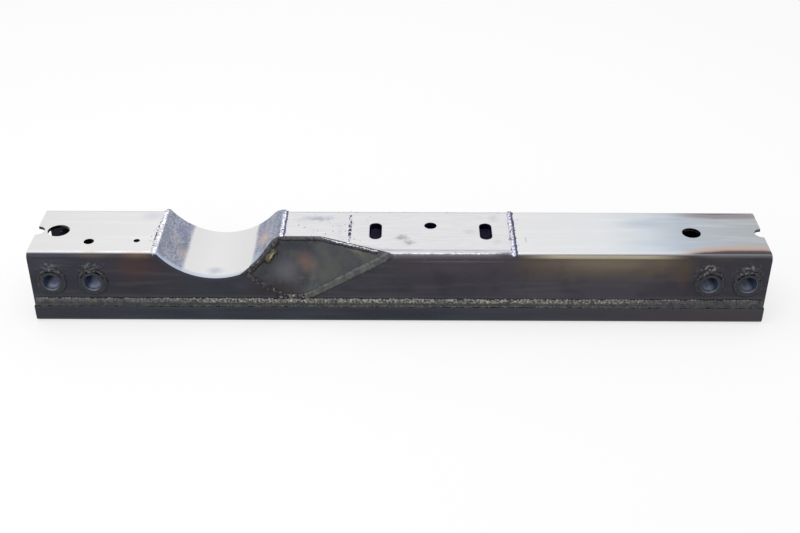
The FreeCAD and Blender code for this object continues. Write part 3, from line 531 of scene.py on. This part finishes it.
# Seam welds: one long fillet on the tray's edge along each side, laid in short overlapping puddles.
# It was wire-brushed in the middle and left smoked at the ends, and its lower toe stays dark; its upper toe
# carries a painted light that lifts the shade where it meets the leg.
seam_steel, tree, shader, place = start_steel("brushed_fillet_weld", 0.42)
flecks = grain(tree, place, 2.0, detail=4.0).outputs["Fac"]
lumps = grain(tree, place, 5.0, detail=2.0).outputs["Fac"]
exact = add(tree, "SeparateXYZ", None, {0: place}).outputs
loose_x = add(tree, "SeparateXYZ", None, {0: shift(tree, place, 40.0, 30.0)}).outputs["X"]
wavy = add(tree, "SeparateXYZ", None, {0: shift(tree, place, 9.0, 1.1)}).outputs
crown = times(tree, fade(tree, wavy["Z"], 23.6, 25.2), fade(tree, exact["Z"], 28.4, 27.2))
ledge = band(tree, wavy["Z"], (19.2, 20.2), (22.4, 21.0), 0.5)
brushed = band(tree, loose_x, (-310.0, -110.0), (300.0, 200.0))
skin = over(tree, fade(tree, lumps, 0.4, 0.6), "404145", "4d4d4e")
skin = over(tree, times(tree, crown, fade(tree, flecks, 0.42, 0.66, 0.4)), skin, "5f5e5b")
brushing = add(tree, "MapRange", None, {"Value": brushed, "To Min": 0.1, "To Max": 1.0}).outputs[0]
bright = times(tree, crown, brushing)
skin = over(tree, times(tree, bright, fade(tree, flecks, 0.42, 0.62)), skin, "88857b")
skin = over(tree, times(tree, bright, fade(tree, flecks, 0.6, 0.72)), skin, "b0aca1")
skin = over(tree, times(tree, times(tree, ledge, brushed), fade(tree, flecks, 0.46, 0.62)), skin, "8a867b")
# Painted light on the upper toe, lifting the shade where the bead meets the leg.
skin = over(tree, fade(tree, exact["Z"], 27.0, 28.0, 0.9), skin, "747377")
tree.links.new(skin, shader.inputs["Base Color"])
rough_skin(tree, shader, flecks, 0.1, (0.3, 0.55))

SEAM_END = 366.6
SEAM_FACE = 45.9
SEAM_HEIGHT = 23.5
SEAM_LEAN = (0.942, 0.335)

for label, face in (("seam_weld_front", -1), ("seam_weld_back", 1)):
    out = (0, face * SEAM_LEAN[0], SEAM_LEAN[1])
    ends = [((x, face * SEAM_FACE, SEAM_HEIGHT), out) for x in (-SEAM_END, SEAM_END)]
    lay_bead(label.replace("weld", "bead"), walk(ends, 3.3), (2.9, 5.2, 2.1), seam_steel, [label], 31 + face,
             voxel=0.75, uneven=0.1, roughness=0.4)

# Top welds: rows of puddles across the beam, at both ends of the saddle plate and at the mount plate's right.
# The left ones were brushed white; each has painted shade along its right flank, a dark line past its right
# toe.
TOP = 79.375
SUNK = 0.2

# Two places down a bend: how far each is from the beam's middle, how far below the top, and how it faces.
DOWN_BEND = ((41.4, 1.2, (0.5, 0.86)), (43.4, 3.4, (0.86, 0.5)))


def across(x, start, end, over_bends):
    """Corners of a run across the top at x, taken down the front bend, the back bend or both."""
    corners = [((x, y, TOP - SUNK), (0, 0, 1)) for y in (start, end)]
    for y, drop, (lean, rise) in DOWN_BEND:
        if over_bends[0]:
            corners.insert(0, ((x, -y, TOP - drop), (0, -lean, rise)))
        if over_bends[1]:
            corners.append(((x, y, TOP - drop), (0, lean, rise)))
    return corners


def bead_steel(name, x, pale, dark, toe):
    """Brushed bead at x: pale on its crown, dark in its pits, and painted shade past a line toe millimetres
    right of x.
    """
    steel, tree, shader, place = start_steel(name, 0.36)
    flecks = grain(tree, place, 1.7, detail=4.0).outputs["Fac"]
    exact = add(tree, "SeparateXYZ", None, {0: shift(tree, place, 2.5, 0.8)}).outputs
    skin = over(tree, fade(tree, flecks, 0.36, 0.5), dark, pale)
    # Painted shade on the bead's right flank.
    skin = over(tree, fade(tree, exact["X"], x + toe - 0.7, x + toe + 0.5, 0.9), skin, dark)
    skin = over(tree, fade(tree, exact["Z"], 78.9, 77.4), skin, "4b4a52")
    tree.links.new(skin, shader.inputs["Base Color"])
    rough_skin(tree, shader, flecks, 0.12, (0.28, 0.5))
    return steel


# Each bead: its CAD piece, its pitch, its puddles' reach, the bends that it goes over, its pale and its dark
# colour, and how far right of its middle the dark line of painted shade lies.
TOP_BEADS = [
    ("saddle_weld_left", 2.5, (1.9, 3.0, 1.6), (True, True), "e4e4ea", "7f8299", 2.6),
    ("saddle_weld_right", 2.5, (1.9, 3.0, 1.7), (False, True), "d9dae4", "545372", 1.2),
    ("mount_weld_right", 2.6, (2.0, 3.4, 1.9), (True, True), "c9cad4", "46436a", 0.6),
]
for index, (label, pitch, reach, bends, pale, dark, toe) in enumerate(TOP_BEADS):
    low, high = (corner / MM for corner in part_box(label))
    x = (low.x + high.x) / 2
    steel = bead_steel("brushed_" + label, x, pale, dark, toe)
    stations = walk(across(x, low.y, high.y, bends), pitch)
    lay_bead(label.replace("weld", "bead"), stations, reach, steel, [label], 50 + index, voxel=0.4,
             roughness=0.3)

# Link weld: the bead across the top between link plate and mount plate, which shares their ground finish.
# It was ground almost flush, with its pits left as dark dots.
LINK_END = -50.8
stations = walk(across(LINK_END, -22.0, 37.6, (False, True)), 2.8)
lay_bead("link_bead", stations, (2.0, 2.0, 0.55), plate_steel, ["link_weld"], 60, voxel=0.4, roughness=0.15)

# Corner welds: the beads that fill the plates' bevelled long edges, ground down to follow the channel's bend.
# Ground on top and left dark on the side, with the dimples that the disc didn't reach.
corner_steel, tree, shader, place = start_steel("ground_corner_weld", 0.38)
dimples = grain(tree, place, 3.0, detail=3.0, stretch=(1.6, 1.0, 1.0)).outputs["Fac"]
exact = add(tree, "SeparateXYZ", None, {0: shift(tree, place, 8.0, 0.5)}).outputs
skin = over(tree, fade(tree, exact["Z"], 74.0, 77.6), "444147", "5b585e")
skin = over(tree, fade(tree, exact["Z"], 78.5, 79.2), skin, "c9c9d0")
skin = over(tree, fade(tree, dimples, 0.56, 0.66, 0.5), skin, "57545c")
skin = over(tree, patch(tree, shift(tree, place, 4.0, 2.0), (106, -42, 78), (18, 7, 5), 0.9), skin, "47444c")
tree.links.new(skin, shader.inputs["Base Color"])
rough_skin(tree, shader, dimples, 0.3, (0.3, 0.5))
for label in ("mount_weld_front", "mount_weld_back", "link_weld_back"):
    whole_copy(label, corner_steel)

# Clearance welds: the runs that seal the scoop plate to the front leg, the seam, the top and the saddle.
# The ridge up the right is one smooth weave; the others are coarse, and smoky where no disc reached them.

# Smooth weave of weld metal under a grey-green oxide skin.
ridge_steel, tree, shader, place = start_steel("oxidised_weave", 0.42)
soft_lumps = grain(tree, place, 6.0, detail=3.0).outputs["Fac"]
skin = over(tree, fade(tree, soft_lumps, 0.35, 0.65), "505253", "656764")
tree.links.new(skin, shader.inputs["Base Color"])
rough_skin(tree, shader, soft_lumps, 0.1, (0.34, 0.5))
RIDGE = [((-10.5, -41.4, 77.2), (0, -1, 0.3)), ((-18.0, -43.5, 73.0), (0, -1, 0.1)),
         ((-53.3, -43.8, 52.6), (0, -1, 0)), ((-87.8, -43.8, 32.3), (0, -1, 0)),
         ((-99.5, -42.6, 26.4), (0, -1, 0))]
lay_bead("clearance_bead_ridge", walk(RIDGE, 2.2), (4.2, 4.3, 2.2), ridge_steel, ["clearance_weld_ridge"], 71,
         voxel=0.5, uneven=0.06, wander=0.2, roughness=0.4)

# Coarse stop-start weld: brown-black with tan flecks where the slag came off, and one long olive blob of weld
# metal beside the saddle, with a painted highlight along its crest.
coarse_steel, tree, shader, place = start_steel("coarse_slagged_weld", 0.5)
flecks = grain(tree, place, 2.6, detail=4.0).outputs["Fac"]
skin = over(tree, fade(tree, flecks, 0.42, 0.58), "37363d", "4b4849")
skin = over(tree, fade(tree, flecks, 0.6, 0.68, 0.7), skin, "857d70")
slag = patch(tree, place, (-108, -45, 29.5), (18, 8, 7), 1.0, 0.5)
skin = over(tree, times(tree, slag, fade(tree, flecks, 0.46, 0.6)), skin, "8f8782")

# The scoop's facet beside the saddle: the way it faces, the way up along it, and the middle of the olive
# blob.
FACET = Vector((0.40, -0.754, 0.52))
UPHILL = Vector((0.61, 0.645, 0.46))
BLOB_MIDDLE = (-128.3, -27.1, 66.6)

near = shift(tree, place, 4.0, 0.6)
from_blob = add(tree, "VectorMath", {"operation": "SUBTRACT"}, {0: near, 1: BLOB_MIDDLE}).outputs[0]
steps = [add(tree, "VectorMath", {"operation": "DOT_PRODUCT"}, {0: from_blob, 1: axis}).outputs["Value"]
         for axis in (UPHILL, UPHILL.cross(FACET))]
on_facet = add(tree, "CombineXYZ", None, {"X": steps[0], "Y": steps[1], "Z": 0.0}).outputs[0]
blob = patch(tree, on_facet, (0, 0, 0), (9.5, 4.2, 1.0), 1.0, 0.3)
# Painted highlight: a bright streak along the blob's crest.
painted_crest_highlight = patch(tree, on_facet, (0, -0.4, 0), (7.0, 1.7, 1.0), 1.0, 0.9)
skin = over(tree, blob, skin, "55523f")
skin = over(tree, times(tree, painted_crest_highlight, fade(tree, flecks, 0.36, 0.56)), skin, "aca588")
tree.links.new(skin, shader.inputs["Base Color"])
rough_skin(tree, shader, flecks, 0.2, (0.36, 0.6))
LOWER = [((x, -44.2, z), (0, -1, 0)) for x, z in (
    (-95.0, 29.6), (-108.9, 29.3), (-117.5, 30.4), (-130.0, 39.5), (-151.5, 56.2))]
lay_bead("clearance_bead_lower", walk(LOWER, 2.4), (2.8, 3.6, 1.7), coarse_steel,
         ["clearance_weld_lower"], 72, voxel=0.5, uneven=0.3, wander=0.8, roughness=0.7)
TROUGH = [(corner, FACET) for corner in (
    (-150.0, -42.4, 57.6), (-139.5, -33.4, 63.8), (-129.3, -22.0, 72.6), (-122.7, -14.8, 77.4))]
BLOB = [((-132.4, -31.0, 63.8), FACET), ((-125.0, -22.8, 69.9), FACET)]
lay_bead("clearance_bead_trough", walk(TROUGH, 1.6) + walk(BLOB, 0.8), (2.6, 3.4, 2.2), coarse_steel,
         ["clearance_weld_trough"], 73, voxel=0.5, uneven=0.2, wander=0.5, roughness=0.6)

# Ground-off bead along the scoop's upper edge: bright where it faces back and up, partly ground metal and
# partly a painted highlight, black below.
edge_steel, tree, shader, place = start_steel("half_ground_weld", 0.42)
flecks = grain(tree, place, 2.2, detail=4.0).outputs["Fac"]
slope = add(tree, "SeparateXYZ", None, {0: add(tree, "TexCoord").outputs["Normal"]}).outputs
skin = over(tree, fade(tree, flecks, 0.4, 0.6), "34333b", "4d4c51")
right = add(tree, "SeparateXYZ", None, {0: place}).outputs["X"]
reached = add(tree, "MapRange", None, {
    "Value": right, "From Min": -95.0, "From Max": -62.0, "To Min": -0.35, "To Max": 0.35,
}).outputs[0]
# Painted highlight, partly ground metal: bright where the bead faces back, more of it towards the right.
tilt = add(tree, "Math", {"operation": "ADD"}, {0: slope["Y"], 1: reached}).outputs[0]
ground_and_highlight = times(tree, fade(tree, tilt, -0.1, 0.2), fade(tree, flecks, 0.38, 0.5))
skin = over(tree, ground_and_highlight, skin, "dcdce6")
tree.links.new(skin, shader.inputs["Base Color"])
rough_skin(tree, shader, flecks, 0.15, (0.32, 0.55))
EDGE = [((x, y, 78.5), (0, -0.4, 0.9)) for x, y in (
    (-22.0, -38.4), (-51.7, -25.4), (-76.0, -14.6), (-83.0, -13.0), (-122.0, -12.9))]
lay_bead("clearance_bead_top", walk(EDGE, 2.6), (2.2, 2.2, 1.9), edge_steel, ["clearance_weld_top"], 74,
         voxel=0.5, uneven=0.2, wander=0.3, roughness=0.5)

# Spatter: drops of weld metal, a quarter to half a millimetre in radius, that flew out of the arc.
# They landed on the plates round the welds and froze there.

# Each spattered field: its middle, how far it reaches each way, and its number of drops.
SPATTERED = [((-70, 5), (40, 26), 26), ((116, 0), (6, 36), 10), ((-246, 0), (5, 34), 14)]
spatter_draw = random.Random(90)
drops = []
for centre, reach, count in SPATTERED:
    for _ in range(count):
        x, y = [middle + spatter_draw.uniform(-1, 1) * half for middle, half in zip(centre, reach)]
        drops.append((x, y, spatter_draw.uniform(0.25, 0.55)))
bpy.ops.object.select_all(action="DESELECT")
spatter = bpy.data.objects.new("spatter", bpy.data.meshes.new("spatter"))
bpy.context.collection.objects.link(spatter)
bpy.context.view_layer.objects.active = spatter
spatter.select_set(True)
bpy.ops.object.mode_set(mode="EDIT")
for x, y, size in drops:
    spot = Vector((x, y, TOP)) * MM
    bpy.ops.mesh.primitive_ico_sphere_add(subdivisions=2, radius=size * MM, location=spot)
bpy.ops.object.mode_set(mode="OBJECT")
bpy.ops.object.shade_smooth()
spatter.data.materials.append(ring_steel)
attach(spatter, "root")

# The studio: a plain pale floor under soft light, and the camera at the photograph's angle.
# Floor and room are brighter where they are seen, straight or in a reflection, than in the light they give.
FLOOR_WIDTH = 14.0


def looked_at(tree):
    """1 for what the camera or a reflection sees, and 0 for the light that things get."""
    rays = add(tree, "LightPath").outputs
    either = {0: rays["Is Camera Ray"], 1: rays["Is Glossy Ray"]}
    return add(tree, "Math", {"operation": "MAXIMUM"}, either).outputs[0]


# Matt pale paper, brightened where it is looked at.
paper = bpy.data.materials.new("pale_paper_floor")
paper.use_nodes = True
tree = paper.node_tree
tree.nodes.remove(tree.nodes["Principled BSDF"])
matt = add(tree, "BsdfDiffuse", None, {"Color": linear("f7f7f7")})
glow = add(tree, "Emission", None, {"Color": (1, 1, 1, 1), "Strength": 1.0})
share = times(tree, looked_at(tree), 0.7)
mixed = add(tree, "MixShader", None, {0: share, 1: matt.outputs[0], 2: glow.outputs[0]})
tree.links.new(mixed.outputs[0], tree.nodes["Material Output"].inputs["Surface"])
bpy.ops.object.select_all(action="DESELECT")
bpy.ops.mesh.primitive_plane_add(size=FLOOR_WIDTH)
floor = bpy.context.active_object
floor.name = "floor"
floor.data.materials.append(paper)

world = bpy.data.worlds.new("white_room")
bpy.context.scene.world = world
world.use_nodes = True
tree = world.node_tree
level = add(tree, "MapRange", None, {"Value": looked_at(tree), "To Min": 0.72, "To Max": 0.95}).outputs[0]
backdrop = tree.nodes["Background"]
backdrop.inputs["Color"].default_value = (1, 1, 1, 1)
tree.links.new(level, backdrop.inputs["Strength"])

LAMPS = [("overhead_softbox", (-0.25, 0.1, 1.5), 1.3, 9.0), ("front_softbox", (-1.1, -1.3, 1.1), 0.9, 4.0)]
for name, spot, width, power in LAMPS:
    light = bpy.data.lights.new(name, "AREA")
    light.size = width
    light.energy = power
    lamp = bpy.data.objects.new(name, light)
    lamp.location = spot
    lamp.rotation_euler = Vector(spot).to_track_quat("Z", "Y").to_euler()
    bpy.context.collection.objects.link(lamp)

camera_data = bpy.data.cameras.new("camera")
camera_data.sensor_width = 36.0
camera_data.lens = 54.14
camera = bpy.data.objects.new("camera", camera_data)
camera.location = (0.0036, -1.0454, 0.7125)
camera.rotation_euler = Euler([math.radians(angle) for angle in (57.153, -0.112, 0.230)])
bpy.context.collection.objects.link(camera)
bpy.context.scene.camera = camera
bpy.context.scene.view_settings.view_transform = "Standard"
